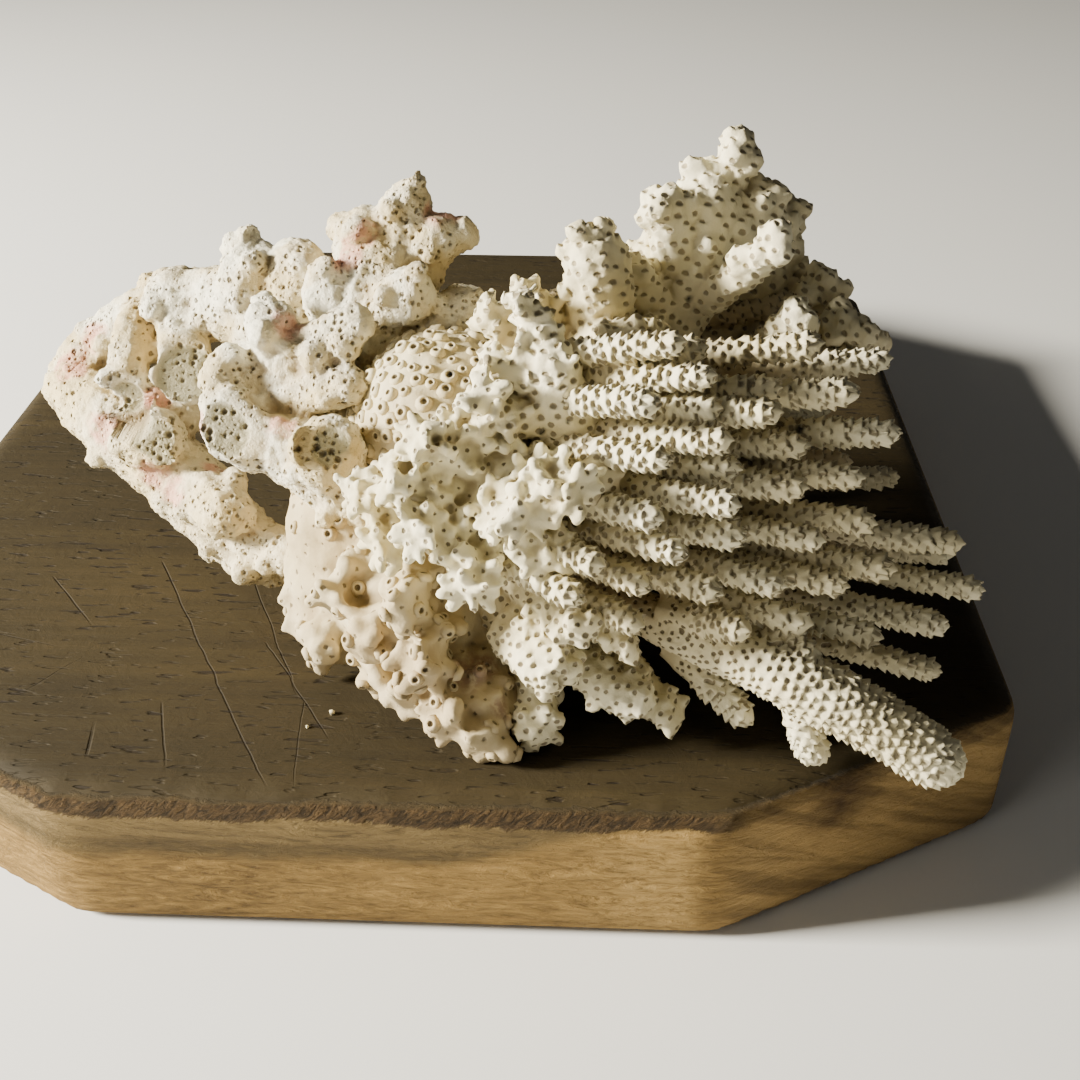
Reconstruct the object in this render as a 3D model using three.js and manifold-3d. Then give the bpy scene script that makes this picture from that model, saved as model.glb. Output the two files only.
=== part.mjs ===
// A bleached branching coral, lying on the thick wooden board that carries it.
// Millimetres, +Z up, +X along the board's front edge, +Y away from the front.
// The origin is at the middle of the board's underside.
import * as THREE from "three";
import { mergeVertices } from "three/addons/utils/BufferGeometryUtils.js";
import Module from "manifold-3d";

const wasm = await Module();
wasm.setup();

// Driving dimensions of the board: an octagon with its back left corner cut further.
const BOARD_WIDTH = 285;
const BOARD_DEPTH = 320;
const BOARD_THICKNESS = 38;
const CORNER_CUT = { x: 70.5, y: 39 };
const LONG_CORNER_CUT = { x: 40.5, y: 118 };
const BOARD_EDGE_ROUND = 3;

// The fingertips all end near one dome, and the fingers point away from one growth point.
const DOME_CENTRE = new THREE.Vector3(20, -88, 70);
const DOME_RADII = new THREE.Vector3(125, 62, 85);
const GROWTH_POINT = new THREE.Vector3(-20, -88, 78);
const GROWTH_LIFT = 0.6;

// A finger is a tapering rod of alternate swellings and waists with a blunt round tip.
const FINGER_LENGTH = 33;
const FINGER_RADII = [2.5, 3.3, 3.0];
const FINGER_SIDES = 5;
const FINGER_RING_STEP = 14;
const TRUNK_SIDES = 6;
const TRUNK_RING_STEP = 16;
const SWELLING = 0.08;

// Neighbouring branches and the board keep this gap to each other.
const GAP = 0.3;

// Colours of the bleached skeleton, its old growth and the wood.
const CORAL_COLOUR = 0xe4ddc9;
const OLD_CORAL_COLOUR = 0xd9cfbd;
const WOOD_COLOUR = 0x8d7048;

const vector = ([x, y, z]) => new THREE.Vector3(x, y, z);

// A closed solid from a closed three.js geometry.
function solidOf(geometry) {
  const bare = geometry.clone();
  bare.deleteAttribute("uv");
  bare.deleteAttribute("normal");
  const merged = mergeVertices(bare, 1e-4);
  const triVerts = new Uint32Array(merged.index.array);
  const vertProperties = new Float32Array(merged.attributes.position.array);
  return new wasm.Manifold(new wasm.Mesh({ numProp: 3, vertProperties, triVerts }));
}

// The three.js geometry of the largest body of a solid, without chips and sealed voids.
function geometryOf(solid) {
  const bodies = solid.decompose();
  bodies.sort((a, b) => b.volume() - a.volume());
  const mesh = bodies[0].getMesh();
  const geometry = new THREE.BufferGeometry();
  geometry.setAttribute("position", new THREE.BufferAttribute(new Float32Array(mesh.vertProperties), 3));
  geometry.setIndex(new THREE.BufferAttribute(new Uint32Array(mesh.triVerts), 1));
  geometry.computeVertexNormals();
  return geometry;
}

// One rod along a smooth path: a turned profile with swellings, bent onto the path.
// The radius goes from the first to the last of radii, evenly along the path.
function rod({ path, radii, sides = FINGER_SIDES, step = FINGER_RING_STEP, spread = 0 }) {
  const curve = new THREE.CatmullRomCurve3(path);
  const length = curve.getLength();
  const rings = Math.max(1, Math.round(length / step));
  const profile = [new THREE.Vector2(0, -spread)];
  const stations = [0];
  for (let i = 0; i <= rings; i += 1) {
    const along = i / rings;
    const place = along * (radii.length - 1);
    const first = Math.min(Math.floor(place), radii.length - 2);
    const radius = THREE.MathUtils.lerp(radii[first], radii[first + 1], place - first);
    const swelling = i % 2 === 1 ? 1 + SWELLING : 1 - SWELLING;
    profile.push(new THREE.Vector2(radius * swelling + spread, along * length));
    stations.push(i);
  }
  const tip = radii[radii.length - 1];
  profile.push(new THREE.Vector2(0.62 * tip + spread, length + 0.6 * tip + 0.5 * spread));
  profile.push(new THREE.Vector2(0, length + 0.85 * tip + spread));
  stations.push(rings, rings);
  const geometry = new THREE.LatheGeometry(profile, sides);
  const frames = curve.computeFrenetFrames(rings, false);
  const position = geometry.attributes.position;
  const point = new THREE.Vector3();
  for (let v = 0; v < position.count; v += 1) {
    const station = stations[v % profile.length];
    const past = position.getY(v) - (station / rings) * length;
    point.copy(curve.getPointAt(station / rings));
    point.addScaledVector(frames.tangents[station], past);
    point.addScaledVector(frames.normals[station], position.getX(v));
    point.addScaledVector(frames.binormals[station], -position.getZ(v));
    position.setXYZ(v, point.x, point.y, point.z);
  }
  return solidOf(geometry);
}

// A rounded lump: a faceted ball stretched to its three radii.
function lump({ at, radii, spread = 0 }) {
  const geometry = new THREE.IcosahedronGeometry(1, 1);
  geometry.scale(radii[0] + spread, radii[1] + spread, radii[2] + spread);
  geometry.translate(at[0], at[1], at[2]);
  return solidOf(geometry);
}

// A point of the dome by its compass angle from +X, its height angle and its reach.
function domePoint([azimuth, elevation, reach = 1]) {
  const a = THREE.MathUtils.degToRad(azimuth);
  const e = THREE.MathUtils.degToRad(elevation);
  const unit = new THREE.Vector3(Math.cos(e) * Math.cos(a), Math.cos(e) * Math.sin(a), Math.sin(e));
  return unit.multiply(DOME_RADII).multiplyScalar(reach).add(DOME_CENTRE);
}

// The path of a finger: off its branch's trunk, then straight to its tip on the dome.
function fingerPath(trunk, tip) {
  const direction = tip.clone().sub(GROWTH_POINT);
  direction.z *= GROWTH_LIFT;
  direction.normalize();
  const root = tip.clone().addScaledVector(direction, -FINGER_LENGTH);
  const line = new THREE.Line3(vector(trunk[trunk.length - 2]), vector(trunk[trunk.length - 1]));
  const start = line.closestPointToPoint(root, true, new THREE.Vector3());
  const bend = start.clone().lerp(root, 0.6);
  return start.distanceTo(root) > 3 ? [start, bend, root, tip] : [root, tip];
}

// A branch: a trunk rod, its fingers, and the lumps and side rods of its own.
function branch({ trunk, trunkRadii, fingers = [], rods = [], lumps = [] }, spread = 0) {
  const pieces = [];
  if (trunk) {
    const path = trunk.map(vector);
    pieces.push(rod({ path, radii: trunkRadii, sides: TRUNK_SIDES, step: TRUNK_RING_STEP, spread }));
  }
  for (const finger of fingers) {
    pieces.push(rod({ path: fingerPath(trunk, domePoint(finger)), radii: FINGER_RADII, spread }));
  }
  for (const { path, radii, sides = FINGER_SIDES, step = FINGER_RING_STEP } of rods) {
    pieces.push(rod({ path: path.map(vector), radii, sides, step, spread }));
  }
  for (const { at, radii } of lumps) {
    pieces.push(lump({ at, radii, spread }));
  }
  return pieces.reduce((whole, piece) => whole.add(piece));
}

// The branches, from the first that the others grow from to the last. Each is cut clear
// of all before it. Points and radii are in millimetres, fingertips in dome angles.
const BRANCHES = {
  colony_base: {
    trunk: [[-6, -94, 58], [12, -90, 74], [34, -92, 78], [56, -93, 81]],
    trunkRadii: [24, 25, 22, 15],
    lumps: [
      { at: [8, -88, 90], radii: [23, 23, 23] },
      { at: [-12, -96, 54], radii: [20, 21, 17] },
      { at: [4, -112, 58], radii: [20, 19, 21] },
      { at: [-15, -96, 68], radii: [15, 17, 17] },
    ],
    rods: [
      { path: [[-20, -100, 50], [-26, -107, 50]], radii: [6, 4.3] },
      { path: [[-14, -108, 48], [-20, -117, 47]], radii: [6, 3.9] },
      { path: [[0, -116, 50], [-5, -128, 48]], radii: [6, 3.9] },
      { path: [[7, -120, 50], [4, -134, 48]], radii: [6, 4.3] },
      { path: [[13, -122, 52], [13, -141, 48]], radii: [6.5, 4.7] },
      { path: [[20, -122, 52], [21, -142, 44]], radii: [6.5, 4.7] },
      { path: [[-6, -110, 66], [-14, -125, 68]], radii: [6, 3.4] },
      { path: [[-2, -116, 64], [-6, -133, 63]], radii: [6, 3.4] },
      { path: [[6, -118, 62], [7, -140, 61]], radii: [6.5, 4.7] },
      { path: [[4, -116, 74], [4, -136, 74]], radii: [6, 3.9] },
    ],
  },
  tower_branch: {
    trunk: [[40, -86, 88], [52, -86, 106], [62, -81, 126], [66, -79, 143]],
    trunkRadii: [9, 10, 10.5, 8.5],
    rods: [
      { path: [[68, -79, 134], [72, -76, 152]], radii: [6, 3.3] },
      { path: [[68, -80, 124], [77, -77, 140]], radii: [7.5, 5.8] },
      { path: [[60, -84, 130], [57, -86, 144]], radii: [7, 5] },
      { path: [[58, -88, 116], [51, -92, 130]], radii: [6, 3.8] },
      { path: [[66, -88, 122], [78, -103, 140]], radii: [4.7, 3.6] },
      { path: [[56, -90, 106], [53, -102, 122]], radii: [5.2, 3.4] },
    ],
  },
  back_tower_branch: {
    trunk: [[44, -76, 84], [66, -72, 104], [82, -72, 124]],
    trunkRadii: [9, 9.5, 7.5],
    rods: [
      { path: [[77, -72, 114], [83, -72, 136]], radii: [7, 4.8] },
      { path: [[80, -74, 110], [94, -78, 122]], radii: [6.5, 4.6] },
      { path: [[78, -78, 104], [99, -90, 118]], radii: [6, 4] },
      { path: [[76, -80, 98], [106, -86, 112]], radii: [5.6, 3.6] },
      { path: [[80, -84, 108], [85, -96, 122]], radii: [5.5, 4.2] },
    ],
  },
  stub_branch: {
    trunk: [[22, -90, 86], [36, -92, 104], [43, -96, 124], [41, -97, 137]],
    trunkRadii: [9, 8, 8, 7],
    rods: [
      { path: [[38, -98, 114], [48, -110, 122]], radii: [6.5, 5.5] },
      { path: [[44, -88, 112], [54, -82, 130]], radii: [5.5, 5] },
      { path: [[36, -98, 116], [26, -101, 128]], radii: [4.6, 3.2] },
      { path: [[34, -100, 110], [19, -104, 125]], radii: [5, 3.4] },
    ],
  },
  knobbed_branch: {
    trunk: [[22, -102, 84], [38, -118, 102], [35, -122, 116], [33, -120, 124]],
    trunkRadii: [7.5, 7, 7.5, 5.9],
    rods: [
      { path: [[34, -120, 116], [22, -122, 122]], radii: [5.5, 3.4] },
      { path: [[32, -122, 110], [21, -128, 115]], radii: [5, 3.2] },
      { path: [[33, -120, 122], [28, -116, 133]], radii: [4.6, 3.2] },
      { path: [[38, -118, 100], [44, -134, 104]], radii: [5.9, 5] },
    ],
  },
  middle_fan: {
    trunk: [[26, -102, 84], [46, -115, 96]],
    trunkRadii: [10, 8],
    fingers: [
      [-65, 45], [-58, 46, 0.92], [-63, 40], [-62, 36, 0.95], [-71, 37], [-64, 31], [-71, 29],
      [-65, 22], [-73, 21], [-71, 16], [-64, 17, 0.97], [-61, 27, 0.92],
    ],
  },
  front_fan: {
    trunk: [[20, -108, 76], [44, -122, 80]],
    trunkRadii: [10, 7],
    fingers: [
      [-79, 15], [-81, 10], [-74, 11, 0.96], [-67, 9, 0.97], [-75, 5, 0.97], [-60, 9, 0.97],
    ],
  },
  upper_right_branch: {
    trunk: [[48, -90, 86], [76, -96, 100]],
    trunkRadii: [8.5, 7],
    fingers: [
      [-41, 43, 0.95], [-26, 38, 0.92], [-44, 35, 0.98], [-40, 28, 0.97],
      [-57, 34], [-52, 38, 0.94], [-51, 29, 0.92],
    ],
  },
  right_branch: {
    trunk: [[52, -96, 80], [84, -104, 86]],
    trunkRadii: [8.5, 6.5],
    fingers: [
      [-48, 23, 0.97], [-48, 16, 0.97], [-55, 15, 0.97], [-55, 23, 0.95], [-33, 8, 0.96],
      [-48, 9], [-54, 8],
    ],
  },
  lower_right_branch: {
    trunk: [[46, -98, 72], [84, -108, 66]],
    trunkRadii: [8.5, 6.5],
    fingers: [
      [-32, 0], [-38, -4], [-49, -2], [-34, -15], [-57, 2, 0.97], [-47, -13, 0.95],
    ],
  },
  lower_arm: {
    trunk: [[30, -104, 64], [56, -126, 64], [80, -142, 63], [100, -148, 56], [116, -153, 48]],
    trunkRadii: [8, 5.5, 6, 7, 5.8],
    rods: [
      { path: [[84, -142, 60], [91, -145, 43]], radii: [4, 3.6] },
      { path: [[58, -128, 68], [73, -143, 74]], radii: [4.1, 3.3] },
      { path: [[60, -126, 58], [76, -138, 47]], radii: [4.3, 3.3] },
      { path: [[68, -134, 66], [88, -141, 67]], radii: [4.1, 3.3] },
    ],
  },
  front_lobes: {
    trunk: [[14, -108, 66], [30, -126, 62]],
    trunkRadii: [9, 8.5],
    rods: [
      { path: [[26, -128, 62], [34, -142, 63]], radii: [7.5, 7] },
      { path: [[30, -126, 54], [32, -141, 44]], radii: [5.5, 4.6] },
      { path: [[34, -126, 56], [52, -141, 52]], radii: [5.9, 4.6] },
      { path: [[42, -122, 56], [61, -137, 45]], radii: [5.5, 4] },
      { path: [[30, -124, 70], [50, -142, 70]], radii: [4.6, 3.5] },
      { path: [[26, -122, 72], [40, -145, 75]], radii: [5, 3.9] },
    ],
  },
  left_crown: {
    trunk: [[14, -108, 84], [24, -124, 100]],
    trunkRadii: [10.5, 8.5],
    rods: [
      { path: [[22, -124, 104], [20, -129, 120]], radii: [4.8, 2.7] },
      { path: [[20, -126, 102], [9, -134, 112]], radii: [5.6, 3] },
      { path: [[16, -126, 96], [3, -134, 102]], radii: [5.6, 2.9] },
      { path: [[24, -126, 100], [38, -140, 105]], radii: [6, 4.4] },
      { path: [[20, -128, 94], [29, -142, 100]], radii: [6, 4.4] },
      { path: [[12, -120, 86], [-1, -134, 87]], radii: [6, 3.2] },
      { path: [[18, -126, 86], [18, -143, 84]], radii: [6.5, 4.8] },
      { path: [[10, -118, 92], [-6, -130, 96]], radii: [5, 3] },
      { path: [[16, -124, 92], [8, -140, 94]], radii: [5, 3.2] },
      { path: [[24, -122, 90], [34, -142, 90]], radii: [5.4, 3.8] },
    ],
  },
  back_upper_fan: {
    trunk: [[36, -80, 84], [62, -66, 100]],
    trunkRadii: [10, 7],
    fingers: [
      [-8, 38, 0.8], [16, 44, 0.84], [38, 38, 0.9], [40, 50, 0.8], [66, 36, 0.92], [12, 30, 0.82],
    ],
  },
  back_lower_fan: {
    trunk: [[32, -78, 72], [64, -66, 70]],
    trunkRadii: [12, 8],
    fingers: [
      [-14, 18, 0.68], [16, 14, 0.68], [40, 18, 0.9], [56, 26], [70, 10], [48, 2],
      [-8, -6, 0.86], [26, -4, 0.88], [60, -14], [40, -18],
    ],
  },
  peak_branch: {
    trunk: [[0, -78, 92], [-12, -68, 106], [-8, -60, 118]],
    trunkRadii: [12, 12, 10],
    rods: [
      { path: [[-8, -58, 112], [-3, -54, 133]], radii: [9, 6], sides: 7 },
      { path: [[-4, -60, 114], [6, -58, 127]], radii: [8, 5] },
      { path: [[-14, -60, 112], [-14, -54, 126]], radii: [8, 6] },
      { path: [[-10, -72, 108], [0, -75, 118]], radii: [7.5, 5.8] },
      { path: [[-14, -70, 104], [-22, -68, 116]], radii: [8, 6.5] },
      { path: [[0, -72, 102], [12, -70, 113]], radii: [7, 5.8] },
      { path: [[8, -74, 96], [19, -68, 106]], radii: [6.5, 5] },
    ],
  },
  star_branch: {
    trunk: [[-16, -84, 88], [-27, -84, 101]],
    trunkRadii: [7, 7],
    rods: [
      { path: [[-28, -84, 102], [-33, -82, 114]], radii: [7, 5.2] },
      { path: [[-26, -84, 105], [-11, -86, 115]], radii: [6, 4.4] },
      { path: [[-28, -86, 97], [-12, -94, 103]], radii: [6.5, 4.6] },
      { path: [[-28, -84, 99], [-42, -86, 101]], radii: [6, 4.8] },
    ],
  },
  porous_branch: {
    trunk: [[-4, -100, 72], [-18, -100, 84], [-32, -96, 90]],
    trunkRadii: [12, 9, 7],
    rods: [
      { path: [[-32, -96, 88], [-40, -99, 95]], radii: [7.5, 7.5], sides: 7 },
      { path: [[-34, -92, 92], [-44, -88, 103]], radii: [5.9, 4.6] },
      { path: [[-18, -100, 86], [-15, -110, 96]], radii: [8.5, 7.5], sides: 7 },
    ],
  },
  crest_branch: {
    trunk: [[-28, -66, 92], [-44, -54, 103], [-62, -42, 99], [-84, -38, 87], [-97, -42, 77]],
    trunkRadii: [9, 10, 9.5, 9.5, 9],
    rods: [
      { path: [[-44, -56, 104], [-42, -52, 115]], radii: [9, 8], sides: 7 },
      { path: [[-32, -62, 100], [-30, -54, 117]], radii: [8.5, 7.5], sides: 7 },
      { path: [[-58, -44, 98], [-66, -46, 102]], radii: [10, 9] },
      { path: [[-76, -42, 98], [-76, -56, 92], [-75, -62, 86]], radii: [5.5, 5, 4.5], sides: 7 },
      { path: [[-66, -44, 100], [-61, -58, 95], [-58, -66, 90]], radii: [6, 6, 7.5], sides: 7 },
    ],
  },
  long_old_branch: {
    trunk: [[-98, -44, 78], [-88, -54, 76], [-66, -68, 66], [-46, -80, 52]],
    trunkRadii: [8, 10, 10.5, 8],
    rods: [
      { path: [[-58, -74, 64], [-46, -88, 64]], radii: [7.5, 7], sides: 7 },
      { path: [[-52, -76, 54], [-41, -84, 48]], radii: [7.5, 7], sides: 7 },
      { path: [[-74, -64, 74], [-66, -74, 77]], radii: [8.5, 8.5], sides: 7 },
      { path: [[-82, -54, 74], [-62, -60, 78]], radii: [8, 7] },
      { path: [[-44, -82, 54], [-30, -90, 54]], radii: [7, 5.5] },
    ],
  },
};

const OLD_GROWTH = ["peak_branch", "star_branch", "porous_branch", "crest_branch", "long_old_branch"];

// The board's outline: a long rectangle with four cut corners.
function boardOutline() {
  const right = BOARD_WIDTH / 2;
  const back = BOARD_DEPTH / 2;
  const corners = [
    [-right + CORNER_CUT.x, -back],
    [right - CORNER_CUT.x, -back],
    [right, -back + CORNER_CUT.y],
    [right, back - CORNER_CUT.y],
    [right - CORNER_CUT.x, back],
    [-right + LONG_CORNER_CUT.x, back],
    [-right, back - LONG_CORNER_CUT.y],
    [-right, -back + CORNER_CUT.y],
  ];
  return new THREE.Shape(corners.map(([x, y]) => new THREE.Vector2(x, y)));
}

function boardGeometry() {
  const round = {
    depth: BOARD_THICKNESS - 2 * BOARD_EDGE_ROUND,
    bevelThickness: BOARD_EDGE_ROUND,
    bevelSize: BOARD_EDGE_ROUND,
    bevelOffset: -BOARD_EDGE_ROUND,
    bevelSegments: 2,
  };
  const geometry = new THREE.ExtrudeGeometry(boardOutline(), round);
  geometry.translate(0, 0, BOARD_EDGE_ROUND);
  return geometryOf(solidOf(geometry));
}

// All that lies under the coral, a gap above the board's top and deeper than any branch.
function underCoral() {
  const height = 200;
  const geometry = new THREE.BoxGeometry(2 * BOARD_WIDTH, 2 * BOARD_DEPTH, height);
  geometry.translate(0, 0, BOARD_THICKNESS + GAP - height / 2);
  return solidOf(geometry);
}

function coralMaterial(name) {
  const color = OLD_GROWTH.includes(name) ? OLD_CORAL_COLOUR : CORAL_COLOUR;
  return new THREE.MeshStandardMaterial({ color, roughness: 0.85, metalness: 0 });
}

const coral = new THREE.Group();
let taken = underCoral();
for (const [name, design] of Object.entries(BRANCHES)) {
  const mesh = new THREE.Mesh(geometryOf(branch(design).subtract(taken)), coralMaterial(name));
  mesh.name = name;
  coral.add(mesh);
  taken = taken.add(branch(design, GAP));
}

const wood = new THREE.MeshStandardMaterial({ color: WOOD_COLOUR, roughness: 0.65, metalness: 0 });
const board = new THREE.Mesh(boardGeometry(), wood);
board.name = "wooden_board";

const model = new THREE.Group();
model.add(board, coral);

export default model;
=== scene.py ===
"""A bleached branching coral on its wooden board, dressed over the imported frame."""
import math

import bpy
import numpy as np
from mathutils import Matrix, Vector
from mathutils.kdtree import KDTree


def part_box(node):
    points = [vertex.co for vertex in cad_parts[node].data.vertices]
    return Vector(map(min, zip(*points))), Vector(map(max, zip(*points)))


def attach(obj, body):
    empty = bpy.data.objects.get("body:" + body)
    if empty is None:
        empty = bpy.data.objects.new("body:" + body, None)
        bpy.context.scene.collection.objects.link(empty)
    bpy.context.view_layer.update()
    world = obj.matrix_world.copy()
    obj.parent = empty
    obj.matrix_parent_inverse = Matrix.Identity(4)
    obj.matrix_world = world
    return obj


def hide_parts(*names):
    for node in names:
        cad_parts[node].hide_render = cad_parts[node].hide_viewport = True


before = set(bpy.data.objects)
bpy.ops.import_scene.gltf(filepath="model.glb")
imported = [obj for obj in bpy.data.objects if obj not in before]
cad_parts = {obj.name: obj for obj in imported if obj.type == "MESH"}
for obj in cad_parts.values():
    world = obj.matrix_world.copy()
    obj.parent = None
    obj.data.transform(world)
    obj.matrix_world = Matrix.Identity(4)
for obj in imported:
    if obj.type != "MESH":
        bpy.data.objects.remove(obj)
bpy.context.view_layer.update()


# The wooden board: one thick plank with cut corners, worn smooth and dark on top.
# Its sides are left as sawn, with fuzzy fibres, and the upper front arris is torn.
MM = 0.001
BOARD_EDGE_ROUND = 4.0 * MM
BOARD_VOXEL = 2.4 * MM
CORNER_CUT = (70.5 * MM, 39.0 * MM)
LONG_CORNER_CUT = (40.5 * MM, 118.0 * MM)
ARRIS_DEPTH = 5.0 * MM
TEAR_DEPTH = 2.6 * MM
TEAR_GRAIN = 5.0 * MM
ARRIS_SHARE = 0.02
KNOT_PLACE = (0.098, -0.144, 0.030)
# Each knife cut: where it starts and ends, its width, and how dark it is.
KNIFE_CUTS = [
    ((-0.0725, -0.0696), (-0.0253, -0.1556), 0.00040, 0.9),
    ((-0.0469, -0.0757), (-0.0241, -0.1258), 0.00035, 0.7),
    ((-0.0370, -0.1035), (-0.0135, -0.1409), 0.00035, 0.7),
    ((-0.0672, -0.1479), (-0.0698, -0.1330), 0.00070, 0.8),
    ((-0.0989, -0.0778), (-0.0800, -0.1010), 0.00040, 0.8),
    ((-0.0560, -0.1270), (-0.0480, -0.1520), 0.00045, 0.8),
    ((-0.0230, -0.1250), (-0.0200, -0.1560), 0.00030, 0.6),
    ((-0.1120, -0.1010), (-0.0840, -0.1090), 0.00030, 0.5),
    ((-0.0900, -0.1260), (-0.0780, -0.1100), 0.00030, 0.5),
]


def select_only(*objects):
    bpy.ops.object.select_all(action="DESELECT")
    for item in objects:
        item.select_set(True)
    bpy.context.view_layer.objects.active = objects[0]


def apply_modifier(item, kind, **settings):
    modifier = item.modifiers.new(kind.lower(), kind)
    for key, value in settings.items():
        setattr(modifier, key, value)
    select_only(item)
    bpy.ops.object.modifier_apply(modifier=modifier.name)


def relief_texture(name, kind, size, depth=2):
    texture = bpy.data.textures.new(name, kind)
    texture.noise_scale = size
    if kind == "CLOUDS":
        texture.noise_depth = depth
    return texture


def points_of(item):
    points = np.empty(len(item.data.vertices) * 3, np.float32)
    item.data.vertices.foreach_get("co", points)
    return points.reshape(-1, 3).astype(float)


def place_points(item, points):
    item.data.vertices.foreach_set("co", points.astype(np.float32).ravel())
    item.data.update()


def smoothstep(low, high, value):
    part = np.clip((value - low) / (high - low), 0.0, 1.0)
    return part * part * (3.0 - 2.0 * part)


class Finish:
    """A socket of a material's node tree. Maths on it adds Math nodes."""

    def __init__(self, tree, socket=None):
        self.tree = tree
        self.socket = socket

    def node(self, kind, settings, inputs, output=0):
        made = self.tree.nodes.new("ShaderNode" + kind)
        for key, value in settings.items():
            setattr(made, key, value)
        for key, value in inputs.items():
            if isinstance(value, Finish):
                self.tree.links.new(value.socket, made.inputs[key])
            else:
                made.inputs[key].default_value = value
        return Finish(self.tree, made.outputs[output])

    def maths(self, operation, first, second):
        return self.node("Math", {"operation": operation}, {0: first, 1: second})

    def __add__(self, other):
        return self.maths("ADD", self, other)

    __radd__ = __add__

    def __sub__(self, other):
        return self.maths("SUBTRACT", self, other)

    def __rsub__(self, other):
        return self.maths("SUBTRACT", other, self)

    def __mul__(self, other):
        return self.maths("MULTIPLY", self, other)

    __rmul__ = __mul__

    def step(self, low, high):
        """0 below low, 1 above high and smooth between them."""
        return self.node(
            "MapRange",
            {"interpolation_type": "SMOOTHSTEP"},
            {"Value": self, "From Min": low, "From Max": high},
        )

    def between(self, first, second):
        """The mix of two colours, with this socket as its factor."""
        settings = {"data_type": "RGBA"}
        return self.node("Mix", settings, {0: self, 6: first, 7: second}, 2)

    def noise(self, where, scale, detail=3.0, roughness=0.55, distortion=0.0):
        inputs = {
            "Vector": where,
            "Scale": scale,
            "Detail": detail,
            "Roughness": roughness,
            "Distortion": distortion,
        }
        return self.node("TexNoise", {}, inputs)

    def stretched(self, where, scale, turn=(0.0, 0.0, 0.0)):
        """The place, scaled along each axis after a turn, for streaks and fibres."""
        return self.node("Mapping", {}, {"Vector": where, "Scale": scale, "Rotation": turn})

    def mark(self, name):
        """A mask painted on the mesh as an attribute."""
        return self.node("Attribute", {"attribute_name": name}, {}, 2)


def colour(red, green, blue):
    return (red, green, blue, 1.0)


def new_material(name):
    """A material and its shader, ready for its sockets."""
    material = bpy.data.materials.new(name)
    material.use_nodes = True
    return material, material.node_tree.nodes["Principled BSDF"]


def wire(shader, name, value):
    shader.id_data.links.new(value.socket, shader.inputs[name])


TOP_DARK = colour(0.0108, 0.0076, 0.0021)
TOP_BROWN = colour(0.0425, 0.0292, 0.0093)
TOP_SPECK = colour(0.009, 0.005, 0.002)
SAWN_DARK = colour(0.058, 0.032, 0.008)
SAWN_LIGHT = colour(0.480, 0.300, 0.092)
SAWN_GOLD_LIT = colour(0.52, 0.345, 0.125)
SHADOW_BAND_DARK = colour(0.032, 0.0225, 0.0085)
SHADOW_BAND_LIGHT = colour(0.155, 0.110, 0.045)
GREY_WEDGE = colour(0.230, 0.158, 0.064)
CORNER_PAINTED_FILL = colour(0.480, 0.320, 0.130)
CORNER_FLAME = colour(0.060, 0.036, 0.014)
KNOT_DARK = colour(0.022, 0.008, 0.003)
TORN_DARK = colour(0.011, 0.006, 0.002)
TORN_LIGHT = colour(0.078, 0.046, 0.018)
CUT_DARK = colour(0.006, 0.0035, 0.0012)
# The heights over which each band of the side goes over into the next, in metres.
SHADOW_BAND_FROM = (0.0255, 0.0300)
WEDGE_FROM = (0.0275, 0.0295)
TORN_FROM = (0.0322, 0.0330)
TOP_FROM = (0.0366, 0.0376)


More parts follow.
